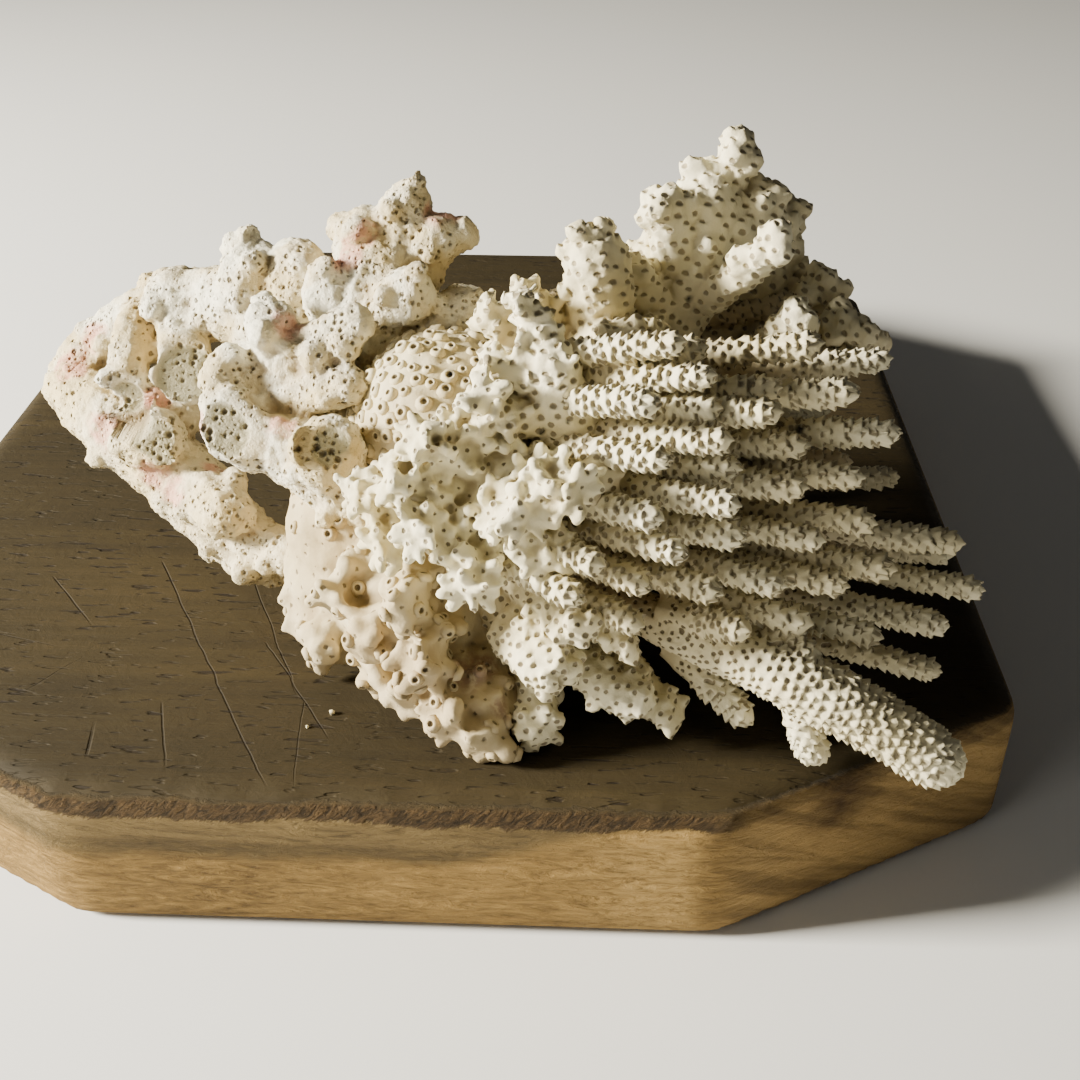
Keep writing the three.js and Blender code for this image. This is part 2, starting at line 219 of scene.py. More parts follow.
def wood_finish():
    material, shader = new_material("wood_finish")
    root = Finish(material.node_tree)
    where = root.node("TexCoord", {}, {}, "Object")
    x, y, z = (root.node("SeparateXYZ", {}, {"Vector": where}, axis) for axis in range(3))

    # Long fibres run along X, bent a little by slow waves.
    fibre = root.noise(root.stretched(where, (9.0, 260.0, 260.0)), 1.0, 5.0, 0.6, 0.3)
    figure = root.noise(root.stretched(where, (3.0, 42.0, 30.0)), 1.0, 3.0, 0.5, 0.8)
    fuzz = root.noise(root.stretched(where, (150.0, 480.0, 480.0)), 1.0, 6.0, 0.75, 1.6)
    slow = root.noise(where, 14.0, 2.0)
    patches = root.noise(where, 38.0, 4.0, 0.6)

    # The top is dark and worn, with small black specks in its worn patches.
    top = (z + fuzz * 0.0016).step(*TOP_FROM)
    top_mix = fibre * 0.6 + figure * 0.9 + patches * 0.4 - 0.45
    top_tone = top_mix.between(TOP_DARK, TOP_BROWN)
    specks = root.noise(root.stretched(where, (130.0, 700.0, 320.0)), 1.0, 2.0, 0.5)
    worn = patches.step(0.42, 0.60)
    top_tone = (specks.step(0.60, 0.68) * worn * 0.85).between(top_tone, TOP_SPECK)

    # The sides are as sawn: fuzzy and golden, with a painted patch of light on the golden fuzz
    # near the corner, and a grey band of painted shadow under the torn one.
    ragged = root.noise(root.stretched(where, (55.0, 60.0, 300.0)), 1.0, 5.0, 0.72, 2.4)
    side_mix = fuzz * 0.9 + ragged * 1.5 + slow * 0.7 - 1.05
    side_tone = side_mix.between(SAWN_DARK, SAWN_LIGHT)
    # Near the corner the golden fuzz is brightened as a painted patch of light.
    corner = 1.0 - (x - 0.062).step(0.0, 0.010)
    golden_lit = x.step(0.030, 0.062) * corner
    side_tone = (golden_lit * fuzz.step(0.34, 0.62) * 0.7).between(side_tone, SAWN_GOLD_LIT)
    # Painted shadow: a grey band over the upper side, whose lower edge climbs towards the
    # corner.
    rise = x.step(0.010, 0.055) * 0.011
    upper = (z + patches * 0.008 + fuzz * 0.003 - rise).step(*SHADOW_BAND_FROM)
    shadow_band_tone = (fuzz * 1.4 + patches * 0.5 - 0.5).between(SHADOW_BAND_DARK, SHADOW_BAND_LIGHT)
    side_tone = (upper * 0.85).between(side_tone, shadow_band_tone)
    wedge = (z + slow * 0.004).step(*WEDGE_FROM) * (1.0 - x.step(-0.010, 0.060))
    side_tone = (wedge * ragged.step(0.30, 0.55) * 0.7).between(side_tone, GREY_WEDGE)

    # A knot, and the flamed end grain of the cut corner on the right, which is painted lighter
    # as fill light in its shade.
    knot_at = root.node("VectorMath", {"operation": "DISTANCE"}, {0: where, 1: KNOT_PLACE}, 1)
    knot = 1.0 - (knot_at + fibre * 0.012).step(0.006, 0.020)
    turned = root.stretched(where, (1.0, 1.0, 1.0), (0.0, -0.55, 0.0))
    flame = root.noise(root.stretched(turned, (16.0, 16.0, 210.0)), 1.0, 4.0, 0.6, 0.6)
    chamfer = x.step(0.066, 0.080)
    # The cut corner is painted lighter, as painted fill light in its shade.
    side_tone = (chamfer * 0.7).between(side_tone, CORNER_PAINTED_FILL)
    side_tone = (chamfer * flame.step(0.40, 0.68) * 0.6).between(side_tone, CORNER_FLAME)
    side_tone = (knot * 0.85).between(side_tone, KNOT_DARK)

    # Torn fibres in a dark band just under the top.
    torn = root.stretched(where, (1.0, 1.0, 1.0), (0.0, 0.65, 0.0))
    torn = root.noise(root.stretched(torn, (330.0, 330.0, 1100.0)), 1.0, 4.0, 0.65, 0.8)
    band = (z + (patches - 0.5) * 0.006 + (torn - 0.5) * 0.003).step(*TORN_FROM) * (1.0 - top)
    band = band * (1.0 - chamfer * 0.6)
    torn_tone = torn.step(0.34, 0.66).between(TORN_DARK, TORN_LIGHT)
    side_tone = (band * 0.92).between(side_tone, torn_tone)
    tone = top.between(side_tone, top_tone)

    # Knife cuts in the top, each a thin dark line that fades out at its ends.
    cuts = None
    for (x0, y0), (x1, y1), width, depth in KNIFE_CUTS:
        length = math.hypot(x1 - x0, y1 - y0)
        along = ((x - x0) * ((x1 - x0) / length)) + ((y - y0) * ((y1 - y0) / length))
        across = ((x - x0) * ((y1 - y0) / length)) - ((y - y0) * ((x1 - x0) / length))
        across = root.maths("ABSOLUTE", across + (figure - 0.5) * 0.0022, 0.0)
        ends = along.step(0.0, 0.004) * (1.0 - along.step(length - 0.012, length))
        cut = (1.0 - across.step(width * 0.2, width * 0.75)) * ends * depth
        cuts = cut if cuts is None else root.maths("MAXIMUM", cuts, cut)
    cuts = cuts * top
    tone = (cuts * 0.7).between(tone, CUT_DARK)
    wire(shader, "Base Color", tone)
    wire(shader, "Roughness", 0.92 - top * 0.14)
    shader.inputs["Specular IOR Level"].default_value = 0.22
    height = fibre * 0.35 + (fuzz * 1.8 + ragged * 2.6) * (1.0 - top * 0.9)
    height = height + torn * band * 2.4 - cuts * 0.3
    height = height - specks.step(0.60, 0.68) * top * 0.4
    bump = root.node("Bump", {}, {"Strength": 0.8, "Distance": 0.0011, "Height": height})
    wire(shader, "Normal", bump)
    return material


board_low, board_high = (Vector(corner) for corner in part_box("wooden_board"))
bpy.ops.object.select_all(action="DESELECT")
bpy.ops.mesh.primitive_cube_add(
    size=1.0, location=(board_low + board_high) / 2, scale=board_high - board_low
)
board = bpy.context.active_object
board.name = "plank_board"
bpy.ops.object.transform_apply(location=True, rotation=True, scale=True)
bpy.ops.object.mode_set(mode="EDIT")
for side_x, side_y, (cut_x, cut_y) in [
    (-1, -1, CORNER_CUT),
    (1, -1, CORNER_CUT),
    (1, 1, CORNER_CUT),
    (-1, 1, LONG_CORNER_CUT),
]:
    corner_x = board_high.x if side_x > 0 else board_low.x
    corner_y = board_high.y if side_y > 0 else board_low.y
    bpy.ops.mesh.select_all(action="SELECT")
    bpy.ops.mesh.bisect(
        plane_co=(corner_x - side_x * cut_x, corner_y, 0.0),
        plane_no=(side_x * cut_y, side_y * cut_x, 0.0),
        use_fill=True,
        clear_outer=True,
    )
bpy.ops.mesh.select_all(action="SELECT")
bpy.ops.mesh.bevel(offset=BOARD_EDGE_ROUND, segments=3, affect="EDGES")
bpy.ops.object.mode_set(mode="OBJECT")
apply_modifier(board, "REMESH", mode="VOXEL", voxel_size=BOARD_VOXEL)
apply_modifier(board, "SMOOTH", factor=0.5, iterations=4)
board_points = points_of(board)
near_front = 1.0 - smoothstep(0.0, 2 * ARRIS_DEPTH, board_points[:, 1] - board_low.y)
near_top = 1.0 - smoothstep(0.0, 1.6 * ARRIS_DEPTH, board_high.z - board_points[:, 2])
torn_share = near_front * near_top
arris = board.vertex_groups.new(name="arris")
for index in np.flatnonzero(torn_share > ARRIS_SHARE):
    arris.add([int(index)], float(torn_share[index]), "REPLACE")
apply_modifier(
    board,
    "DISPLACE",
    texture=relief_texture("torn_fibres", "CLOUDS", TEAR_GRAIN, 4),
    texture_coords="LOCAL",
    strength=TEAR_DEPTH,
    mid_level=0.75,
    vertex_group="arris",
)
board.vertex_groups.clear()
board.data.materials.append(wood_finish())
select_only(board)
bpy.ops.object.shade_smooth()
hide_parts("wooden_board")
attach(board, "root")


# The root of the colony: a boss of skeleton that grew over the old branches under it,
# smooth and cream, with raised ring cups on its crown and pits painted dark as shade on its
# flanks.
BOSS_VOXEL = 0.8 * MM
BOSS_PIT_SPACING = 2.6 * MM
BOSS_RING_SPACING = 3.1 * MM
FUSE = 0.45 * MM
KEPT_SHARE = 0.68
BOARD_GAP = 0.3 * MM
LOWEST_CUP = 1.5 * MM
BOSS_RODS = [
    ([(-6, -94, 58), (12, -90, 74), (34, -92, 78), (56, -93, 81)], (23, 24, 21, 14)),
    ([(-20, -100, 50), (-26, -107, 50)], (5.5, 4)),
    ([(-14, -108, 48), (-20, -117, 47)], (5.5, 3.6)),
    ([(0, -116, 50), (-5, -128, 48)], (5.5, 3.6)),
    ([(7, -120, 50), (4, -134, 48)], (5.5, 4)),
    ([(13, -122, 52), (13, -141, 48)], (6, 4.4)),
    ([(20, -122, 52), (21, -142, 44)], (6, 4.4)),
    ([(-6, -110, 66), (-14, -125, 68)], (5.5, 3.2)),
    ([(-2, -116, 64), (-6, -133, 63)], (5.5, 3.2)),
    ([(6, -118, 62), (7, -140, 61)], (6, 4.4)),
    ([(4, -116, 74), (4, -136, 74)], (5.5, 3.6)),
]
BOSS_LUMPS = [
    ((8, -88, 90), (22.5, 22.5, 22.5)),
    ((-12, -96, 54), (19.5, 20.5, 16.5)),
    ((4, -112, 58), (19.5, 18.5, 20.5)),
    ((-15, -96, 68), (14.5, 16.5, 16.5)),
]


def unit(vectors):
    return vectors / np.maximum(np.linalg.norm(vectors, axis=-1, keepdims=True), 1e-9)


def smooth_line(corners, step):
    """Even stations on a smooth curve through the corners, with their directions."""
    ends = np.vstack([2 * corners[0] - corners[1], corners, 2 * corners[-1] - corners[-2]])
    fine = []
    for i in range(1, len(ends) - 2):
        p0, p1, p2, p3 = ends[i - 1 : i + 3]
        t = np.linspace(0, 1, 24, endpoint=i == len(ends) - 3)[:, None]
        bend = 2 * p0 - 5 * p1 + 4 * p2 - p3
        fine.append(
            0.5 * (2 * p1 + (p2 - p0) * t + bend * t**2 + (3 * p1 - p0 - 3 * p2 + p3) * t**3)
        )
    fine = np.vstack(fine)
    run = np.concatenate([[0], np.cumsum(np.linalg.norm(np.diff(fine, axis=0), axis=1))])
    at = np.linspace(0, run[-1], max(4, int(run[-1] / step) + 1))
    line = np.column_stack([np.interp(at, run, fine[:, k]) for k in range(3)])
    return line, unit(np.gradient(line, axis=0)), at


def rod_line(rod, step=0.7 * MM):
    """A rod's stations, directions and radii. It ends round, a little past its last corner."""
    corners, radii = (np.array(part, float) * MM for part in rod)
    corners[-1] += unit(corners[-1] - corners[-2]) * 0.75 * radii[-1]
    line, ways, at = smooth_line(corners, step)
    radius = np.interp(at, np.linspace(0, at[-1], len(radii)), radii)
    left = np.clip((at[-1] - at) / (1.1 * radii[-1]), 0.0, 1.0)
    return line, ways, at, radius * np.sqrt(np.maximum(1 - (1 - left) ** 2, 0.02))


def grown_skin(name, rods, lumps, voxel, smoothing=3, fuse=FUSE):
    """Rods and lumps grown into each other as one closed skin."""
    curve = bpy.data.curves.new(name, "CURVE")
    curve.dimensions = "3D"
    curve.bevel_depth = 1.0
    curve.bevel_resolution = 3
    curve.use_fill_caps = True
    for rod in rods:
        line, _, _, radius = rod_line(rod)
        spline = curve.splines.new("POLY")
        spline.points.add(len(line) - 1)
        spline.points.foreach_set("co", np.column_stack([line, np.ones(len(line))]).ravel())
        spline.points.foreach_set("radius", radius)
    piece = bpy.data.objects.new(name, curve)
    bpy.context.scene.collection.objects.link(piece)
    select_only(piece)
    bpy.ops.object.convert(target="MESH")
    piece = bpy.context.active_object
    balls = []
    for place, radii in lumps:
        bpy.ops.object.select_all(action="DESELECT")
        bpy.ops.mesh.primitive_uv_sphere_add(
            segments=32,
            ring_count=20,
            radius=1.0,
            location=[value * MM for value in place],
            scale=[value * MM for value in radii],
        )
        bpy.ops.object.transform_apply(location=True, rotation=True, scale=True)
        balls.append(bpy.context.active_object)
    select_only(piece, *balls)
    if balls:
        bpy.ops.object.join()
    bpy.ops.object.mode_set(mode="EDIT")
    bpy.ops.mesh.select_all(action="SELECT")
    bpy.ops.mesh.normals_make_consistent(inside=False)
    bpy.ops.object.mode_set(mode="OBJECT")
    apply_modifier(piece, "DISPLACE", strength=fuse, mid_level=0.0)
    apply_modifier(piece, "REMESH", mode="VOXEL", voxel_size=voxel)
    apply_modifier(piece, "SMOOTH", factor=0.5, iterations=smoothing)
    apply_modifier(piece, "DISPLACE", strength=-fuse, mid_level=0.0)
    return piece


def buds(rods, per_rod, length, thick, thin, seed, start=0.35, lean=0.7):
    """Short spurs that grow out of the rods, more of them towards the ends."""
    rng = np.random.default_rng(seed)
    made = []
    for rod in rods:
        line, ways, _, radius = rod_line(rod)
        for _ in range(per_rod):
            place = start + (1 - start) * rng.uniform() ** 0.8
            i = min(int(place * len(line)), len(line) - 2)
            out = unit(np.cross(ways[i], rng.normal(0, 1, 3)))
            reach = rng.uniform(*length) * MM
            foot = line[i] + out * radius[i] * 0.5
            end = line[i] + out * (radius[i] + reach) + ways[i] * (reach * lean)
            size = rng.uniform(0.8, 1.25)
            corners = [tuple(foot / MM), tuple(end / MM)]
            made.append((corners, (thick * size, thin * size)))
    return made


def roughen(piece, name, kind, size, strength, mid_level=0.5, depth=2):
    apply_modifier(
        piece,
        "DISPLACE",
        texture=relief_texture(name, kind, size, depth),
        texture_coords="LOCAL",
        strength=strength,
        mid_level=mid_level,
    )


def clear_board(piece):
    """Presses whatever would sink into the board flat, just above it."""
    points = points_of(piece)
    points[:, 2] = np.maximum(points[:, 2], board_high.z + BOARD_GAP)
    place_points(piece, points)


TRIES_PER_CELL = 7.0


def scatter(piece, spacing, seed, chance=None):
    """Points on the skin with their normals, no nearer to each other than spacing."""
    mesh = piece.data
    mesh.calc_loop_triangles()
    corners = np.empty(len(mesh.loop_triangles) * 3, np.int32)
    mesh.loop_triangles.foreach_get("vertices", corners)
    corners = corners.reshape(-1, 3)
    places = points_of(piece)
    normals = np.empty(len(mesh.vertices) * 3, np.float32)
    mesh.vertex_normals.foreach_get("vector", normals)
    normals = normals.reshape(-1, 3).astype(float)
    a, b, c = (places[corners[:, k]] for k in range(3))
    area = 0.5 * np.linalg.norm(np.cross(b - a, c - a), axis=1)
    rng = np.random.default_rng(seed)
    tries = int(TRIES_PER_CELL * area.sum() / spacing**2)
    chosen = rng.choice(len(area), tries, p=area / area.sum())
    u, v = rng.random((2, tries, 1))
    u, v = np.where(u + v > 1, 1 - u, u), np.where(u + v > 1, 1 - v, v)
    weights = (1 - u - v, u, v)
    points = sum(w * places[corners[chosen, k]] for k, w in enumerate(weights))
    facing = unit(sum(w * normals[corners[chosen, k]] for k, w in enumerate(weights)))
    fits = points[:, 2] > board_high.z + LOWEST_CUP
    if chance is not None:
        fits &= rng.random(tries) < chance(points)
    cells = np.floor(points / spacing).astype(int).tolist()
    taken = {}
    kept = []
    steps = [(i, j, k) for i in (-1, 0, 1) for j in (-1, 0, 1) for k in (-1, 0, 1)]
    for index in np.flatnonzero(fits).tolist():
        cell = cells[index]
        x, y, z = points[index]
        free = True
        for i, j, k in steps:
            for ox, oy, oz in taken.get((cell[0] + i, cell[1] + j, cell[2] + k), ()):
                if (x - ox) ** 2 + (y - oy) ** 2 + (z - oz) ** 2 < spacing**2:
                    free = False
                    break
            if not free:
                break
        if free:
            taken.setdefault(tuple(cell), []).append((x, y, z))
            kept.append(index)
    return points[kept], facing[kept], rng


def paint(piece, name, values):
    mark = piece.data.attributes.get(name) or piece.data.attributes.new(name, "FLOAT", "POINT")
    mark.data.foreach_set("value", np.asarray(values, np.float32))


# A cup in radii of its hole: where its nose and its hole lie from its middle, towards the
# tip, how long and wide the nose is, and where the hole's wall begins and ends.
NOSE_PLACE = -0.75
NOSE_LENGTH = 1.15
NOSE_WIDTH = 1.45
HOLE_PLACE = 0.25
HOLE_WALL = (0.35, 1.25)
# Skin that lies this far over or under a cup belongs to another finger.
CUP_REACH = (1.2 * MM, 2.2 * MM)
FAR_FROM_CUP = 4.0


def open_cups(piece, points, facing, pull, tip, hole, tall, sink=0.8):
    """Sinks a hole at each point and raises a nose on its root side.

    The skin is marked with the distance to the nearest hole, 1 at its edge. Returns how
    much each place on the skin belongs to a tip."""
    tree = KDTree(len(points))
    for index, point in enumerate(points.tolist()):
        tree.insert(point, index)
    tree.balance()
    skin = points_of(piece)
    nearest = np.array([tree.find(place)[1] for place in skin.tolist()])
    out = facing[nearest]
    way = pull[nearest]
    way = unit(way - out * np.sum(way * out, axis=1, keepdims=True))
    gap = skin - points[nearest]
    rise = np.sum(gap * out, axis=1)
    along = np.sum(gap * way, axis=1)
    side = np.linalg.norm(gap - out * rise[:, None] - way * along[:, None], axis=1)
    size = hole[nearest]
    lift = tip[nearest]
    near = 1.0 - smoothstep(*CUP_REACH, np.abs(rise))
    nose_along = (along - NOSE_PLACE * size) / (NOSE_LENGTH * size)
    nose = np.exp(-(nose_along**2) - (side / (NOSE_WIDTH * size)) ** 2)
    over = np.maximum(np.abs(rise) - size, 0)
    gone = np.sqrt((along - HOLE_PLACE * size) ** 2 + side**2 + over**2)
    gone /= size
    nose *= tall * (0.12 + 0.88 * lift) * near
    pit = sink * size * (1.0 - smoothstep(*HOLE_WALL, gone)) * near
    push = unit(out * (1.0 - 0.45 * lift)[:, None] + way * (0.55 * lift)[:, None])
    place_points(piece, skin + push * nose[:, None] - out * pit[:, None])
    paint(piece, "cup", np.minimum(gone, FAR_FROM_CUP))
    return lift


# A ring cup's wall, from its foot over its rim and down into its hole: how far out, and
# how high, in parts of the rim's radius and of the height.
RING_SIDES = 10
RING_WALL = [(1.5, -0.5), (1.08, 0.55), (0.8, 1.0), (0.48, 0.8), (0.36, -0.1)]


def ring_cups(name, points, facing, rng, rim, tall):
    """Raised cups like small turned rings, each with its hole, closed below."""
    count = len(points)
    axis = unit(facing + rng.normal(0, 0.07, (count, 3)))
    side = unit(np.cross(axis, (0.3, 0.2, 0.9)))
    cross = np.cross(axis, side)
    size = rng.uniform(0.75, 1.2, (count, 1))
    outer, height = rim * size, tall * size
    rings = []
    for reach, rise in RING_WALL:
        for k in range(RING_SIDES):
            angle = 2 * math.pi * k / RING_SIDES
            out = math.cos(angle) * side + math.sin(angle) * cross
            rings.append(points + axis * height * rise + out * outer * reach)
    verts = np.array(rings + [points - axis * height * 0.15]).transpose(1, 0, 2).reshape(-1, 3)
    step = len(RING_WALL) * RING_SIDES + 1
    starts = np.arange(count)[:, None] * step
    last = (len(RING_WALL) - 1) * RING_SIDES
    faces = []
    for k in range(RING_SIDES):
        n = (k + 1) % RING_SIDES
        for r in range(0, last, RING_SIDES):
            faces += (starts + [r + k, r + n, r + RING_SIDES + n, r + RING_SIDES + k]).tolist()
        faces += (starts + [last + k, last + n, last + RING_SIDES]).tolist()
    faces += (starts + list(reversed(range(RING_SIDES)))).tolist()
    mesh = bpy.data.meshes.new(name)
    mesh.from_pydata(verts.tolist(), [], faces)
    cup = np.full((count, step), 3.0)
    cup[:, 3 * RING_SIDES : 4 * RING_SIDES] = 1.1
    cup[:, 4 * RING_SIDES :] = 0.3
    made = bpy.data.objects.new(name, mesh)
    bpy.context.scene.collection.objects.link(made)
    paint(made, "cup", cup.ravel())
    return made


WAVES = 7


def noise_at(points, size, seed):
    """Smooth waves between 0 and 1 through space, from a few seeded directions."""
    rng = np.random.default_rng(seed)
    total = np.zeros(len(points))
    for turn in range(WAVES):
        way = unit(rng.normal(0, 1, (1, 3)))[0]
        total += np.sin(points @ way * (2 * math.pi / size) * rng.uniform(0.6, 1.5) + turn * 1.7)
    return np.clip(0.5 + total / WAVES, 0.0, 1.0)


def near_spots(points, spots, seed):
    """1 inside the spots, 0 outside, with uneven edges."""
    mask = np.zeros(len(points))
    wander = noise_at(points, 7 * MM, seed)
    for place, radius in spots:
        gap = np.linalg.norm(points - np.array(place) * MM, axis=1) / (radius * MM)
        mask = np.maximum(mask, 1.0 - smoothstep(0.55, 1.0, gap + 0.5 * (wander - 0.5)))
    return mask


# Brown stains in the crown's cleft and at the foot, then specks of black dirt: each is
# its middle and its radius.
STAIN_SPOTS = [
    ((16, -133, 90), 3.5),
    ((16, -135, 55), 6.0),
    ((19, -131, 53), 4.5),
    ((24, -141, 50), 3.5),
]
DIRT_SPOTS = [
    ((53, -92, 144), 1.1),
    ((32, -118, 131), 1.0),
    ((84, -120, 108), 1.2),
    ((37, -128, 113), 0.9),
    ((32, -127, 110), 0.9),
    ((11, -99, 109), 1.1),
    ((62, -91, 124), 0.9),
    ((14, -132, 91), 1.0),
    ((18, -134, 90), 0.9),
]


HOLLOW_ROUNDS = 36
HOLLOW_DEPTHS = (0.15 * MM, 1.3 * MM)


def hollows(piece):
    """1 deep in the skin's hollows, 0 on its bumps, by how far smoothing would fill them: where
    dirt and painted shade go.
    """
    points = points_of(piece)
    edges = np.empty(len(piece.data.edges) * 2, np.int32)
    piece.data.edges.foreach_get("vertices", edges)
    one, two = edges.reshape(-1, 2).T
    ends = np.concatenate([one, two])
    others = np.concatenate([two, one])
    count = np.maximum(np.bincount(ends, minlength=len(points)), 1)
    eased = points.copy()
    for _ in range(HOLLOW_ROUNDS):
        sums = [np.bincount(ends, eased[others, k], len(points)) for k in range(3)]
        eased = np.column_stack(sums) / count[:, None]
    normals = np.empty(len(points) * 3, np.float32)
    piece.data.vertex_normals.foreach_get("vector", normals)
    depth = np.sum((eased - points) * normals.reshape(-1, 3), axis=1)
    return smoothstep(*HOLLOW_DEPTHS, depth)


def finish_piece(piece, material, node_names):
    """Paints dirt and shade into the hollows, marks stains and dirt, thins the mesh and hangs
    the piece on the root in place of its frame parts.
    """
    skin = points_of(piece)
    # The hollows get dirt and painted shade.
    paint(piece, "hollow_shade", hollows(piece))
    paint(piece, "stain", near_spots(skin, STAIN_SPOTS, 61))
    paint(piece, "speck", near_spots(skin, DIRT_SPOTS, 63))
    apply_modifier(piece, "DECIMATE", ratio=KEPT_SHARE)
    piece.data.materials.clear()
    piece.data.materials.append(material)
    select_only(piece)
    bpy.ops.object.shade_smooth()
    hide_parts(*node_names)
    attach(piece, "root")


CORAL_CREAM = colour(0.64, 0.565, 0.355)
CORAL_BONE = colour(0.755, 0.700, 0.495)
CORAL_AGED_SHADE = colour(0.38, 0.28, 0.15)
CORAL_SPECK = colour(0.50, 0.42, 0.29)
CORAL_HOLLOW_SHADE = colour(0.24, 0.175, 0.090)
STAIN_BROWN = colour(0.24, 0.15, 0.105)
PIT_SHADE_DARK = colour(0.085, 0.058, 0.028)
PIT_SHADE_PALE = colour(0.30, 0.25, 0.155)
DIRT_BLACK = colour(0.012, 0.011, 0.010)


def coral_finish():
    material, shader = new_material("coral_finish")
    root = Finish(material.node_tree)
    where = root.node("TexCoord", {}, {}, "Object")
    slow = root.noise(where, 34.0, 3.0)
    tone = slow.step(0.35, 0.66).between(CORAL_CREAM, CORAL_BONE)
    # Older, inner and lower parts are painted browner: the skeleton's age, and painted shade
    # deep in the colony.
    tone = (root.mark("aged_shade") * 0.85).between(tone, CORAL_AGED_SHADE)
    specks = root.noise(where, 620.0, 2.0)
    tone = (specks.step(0.66, 0.76) * 0.3).between(tone, CORAL_SPECK)
    # Hollows are painted darker brown: dirt, and painted shade.
    tone = (root.mark("hollow_shade") * 0.7).between(tone, CORAL_HOLLOW_SHADE)
    stain = root.mark("stain") * specks.step(0.30, 0.56)
    tone = (stain * 0.8).between(tone, STAIN_BROWN)
    cup = root.mark("cup")
    tip = root.mark("tip")
    # The cups' holes are painted dark as painted shade, darkest at the roots and paler towards
    # the tips.
    hole = 1.0 - cup.step(0.85, 1.35)
    depth = tip.between(PIT_SHADE_DARK, PIT_SHADE_PALE)
    tone = (hole * 0.92).between(tone, depth)
    tone = root.mark("speck").between(tone, DIRT_BLACK)
    wire(shader, "Base Color", tone)
    shader.inputs["Roughness"].default_value = 0.85
    shader.inputs["Specular IOR Level"].default_value = 0.3
    grain = root.noise(where, 1500.0, 3.0, 0.7)
    crumb = root.noise(where, 420.0, 2.0)
    height = grain * 0.35 + crumb * 0.8 + cup.step(0.65, 1.45) * 1.2
    bump = root.node("Bump", {}, {"Strength": 0.6, "Distance": 0.0004, "Height": height})
    wire(shader, "Normal", bump)
    return material


coral_material = coral_finish()
BOSS_CROWN = np.array([4.0, -86.0, 104.0]) * MM


def ring_chance(points):
    """Ring cups crowd on the boss's crown and thin out over its smooth flanks."""
    crown = 1.0 - smoothstep(0.014, 0.034, np.linalg.norm(points - BOSS_CROWN, axis=1))
    bare = smoothstep(0.50, 0.72, noise_at(points, 44 * MM, 9))
    return (0.04 + crown) * (1.0 - 0.85 * bare)


def pit_chance(points):
    return 0.05 + 0.35 * noise_at(points, 26 * MM, 8) ** 3


foot_buds = buds(BOSS_RODS[1:], per_rod=22, length=(0.8, 3.2), thick=2.3, thin=1.7, seed=20)
boss = grown_skin("colony_boss", BOSS_RODS + foot_buds, BOSS_LUMPS, BOSS_VOXEL, smoothing=4)
roughen(boss, "boss_swells", "CLOUDS", 16 * MM, 3.0 * MM, mid_level=0.55)
roughen(boss, "boss_lumps", "CLOUDS", 4.5 * MM, 1.5 * MM)
clear_board(boss)
points, facing, rng = scatter(boss, BOSS_PIT_SPACING, 21, pit_chance)
hole = rng.uniform(0.35, 0.6, len(points)) * MM
low_tip = np.full(len(points), 0.15)
open_cups(boss, points, facing, facing[:, [1, 2, 0]], low_tip, hole, tall=0.8 * MM)
points, facing, rng = scatter(boss, BOSS_RING_SPACING, 22, ring_chance)
rings = ring_cups("boss_rings", points, facing, rng, rim=1.3 * MM, tall=0.95 * MM)
select_only(boss, rings)
bpy.ops.object.join()
boss_points = points_of(boss)
# The boss is painted browner in uneven patches, and darker low down as painted shade under the
# old growth.
boss_aged_shade = 0.22 + 0.4 * noise_at(boss_points, 30 * MM, 5)
boss_aged_shade += 0.38 * (1 - smoothstep(0.070, 0.100, boss_points[:, 2]))
paint(boss, "aged_shade", boss_aged_shade)
# The boss's holes are painted half way between the dark and the pale pit shade.
paint(boss, "tip", np.full(len(boss_points), 0.45))
finish_piece(boss, coral_material, ["colony_base"])


# Crumbs that broke off the coral, a millimetre or two across. They lie loose on the
# board in front of the colony.
CRUMB_VOXEL = 0.25 * MM
CRUMB_FUSE = 0.1 * MM
NO_CUP = 3.0
CRUMB_RODS = [
    ([(-16.3, -130.6, 38.4), (-15.6, -130.4, 38.6)], (0.7, 0.6)),
    ([(-20.9, -135.5, 38.3), (-20.5, -135.3, 38.3)], (0.5, 0.4)),
    ([(-4.0, -127.5, 38.3), (-3.7, -127.8, 38.3)], (0.5, 0.4)),
]
crumbs = grown_skin("board_crumbs", CRUMB_RODS, [], CRUMB_VOXEL, 1, CRUMB_FUSE)
crumbs.data.materials.clear()
crumbs.data.materials.append(coral_material)
for mask in ("aged_shade", "hollow_shade", "stain", "speck", "tip"):
    paint(crumbs, mask, np.zeros(len(crumbs.data.vertices)))
paint(crumbs, "cup", np.full(len(crumbs.data.vertices), NO_CUP))
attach(crumbs, "root")


# The left crown and the front lobes: short crowded branches on the boss's front. The
# crown ends in frilly white spurs, and the lobes in round knobs full of open cups.
CROWN_RODS = [
    ([(14, -108, 84), (24, -124, 100)], (10, 7.5)),
    ([(22, -124, 104), (20, -129, 120)], (4.2, 2.2)),
    ([(20, -126, 102), (9, -134, 112)], (5, 2.4)),
    ([(16, -126, 96), (3, -134, 102)], (5, 2.3)),
    ([(24, -126, 100), (38, -140, 105)], (5.5, 3.8)),
    ([(20, -128, 94), (29, -142, 100)], (5.5, 3.8)),
    ([(12, -120, 86), (-1, -134, 87)], (5.5, 2.6)),
    ([(18, -126, 86), (18, -143, 84)], (6, 4.2)),
    ([(10, -118, 92), (-6, -130, 96)], (4.5, 2.4)),
    ([(16, -124, 92), (8, -140, 94)], (4.5, 2.6)),
    ([(24, -122, 90), (34, -142, 90)], (5, 3.3)),
]
